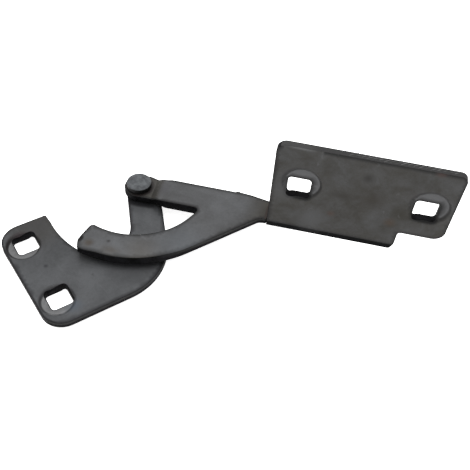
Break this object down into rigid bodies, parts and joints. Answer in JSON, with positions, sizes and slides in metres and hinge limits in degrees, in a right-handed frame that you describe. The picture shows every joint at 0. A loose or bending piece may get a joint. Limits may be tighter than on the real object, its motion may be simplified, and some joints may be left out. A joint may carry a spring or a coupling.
{
  "type": "hood hinge",
  "caption": "Riveted hood hinge in bare steel: a body bracket with pressed bolt pads, and an arm with a curved guide hook and an upright bolting flange.",
  "frame": {"origin": "on the seating face of the upper body bolt pad, beside its hole, on the hole's side that faces the lower pad", "axes": "+X along the hood flange, away from the pivot; +Y towards the side the hood panel lies on; +Z along the pivot, from the body up through the arm"},
  "size_m": [0.2454, 0.1137, 0.075],
  "materials": {
    "bracket_steel": "bare rolled steel with a thin dark oil film, dull",
    "arm_steel": "bare rolled steel with a thin dark oil film, dull, faint rust at the bend",
    "rivet_steel": "bare steel, slightly brighter on its pressed head",
    "washer_steel": "bare steel"
  },
  "bodies": {
    "body_side": {"body_bracket": "bracket_steel", "pivot_rivet": "rivet_steel", "spacer_washer": "washer_steel"},
    "hood_side": {"hood_arm": "arm_steel"}
  },
  "joints": [
    {"name": "hood_pivot", "type": "hinge", "parent": "body_side", "child": "hood_side", "pos_m": [0.04505, 0.0613, 0.0086], "axis": [0, 0, 1], "range_deg": [-45, 35]}
  ]
}
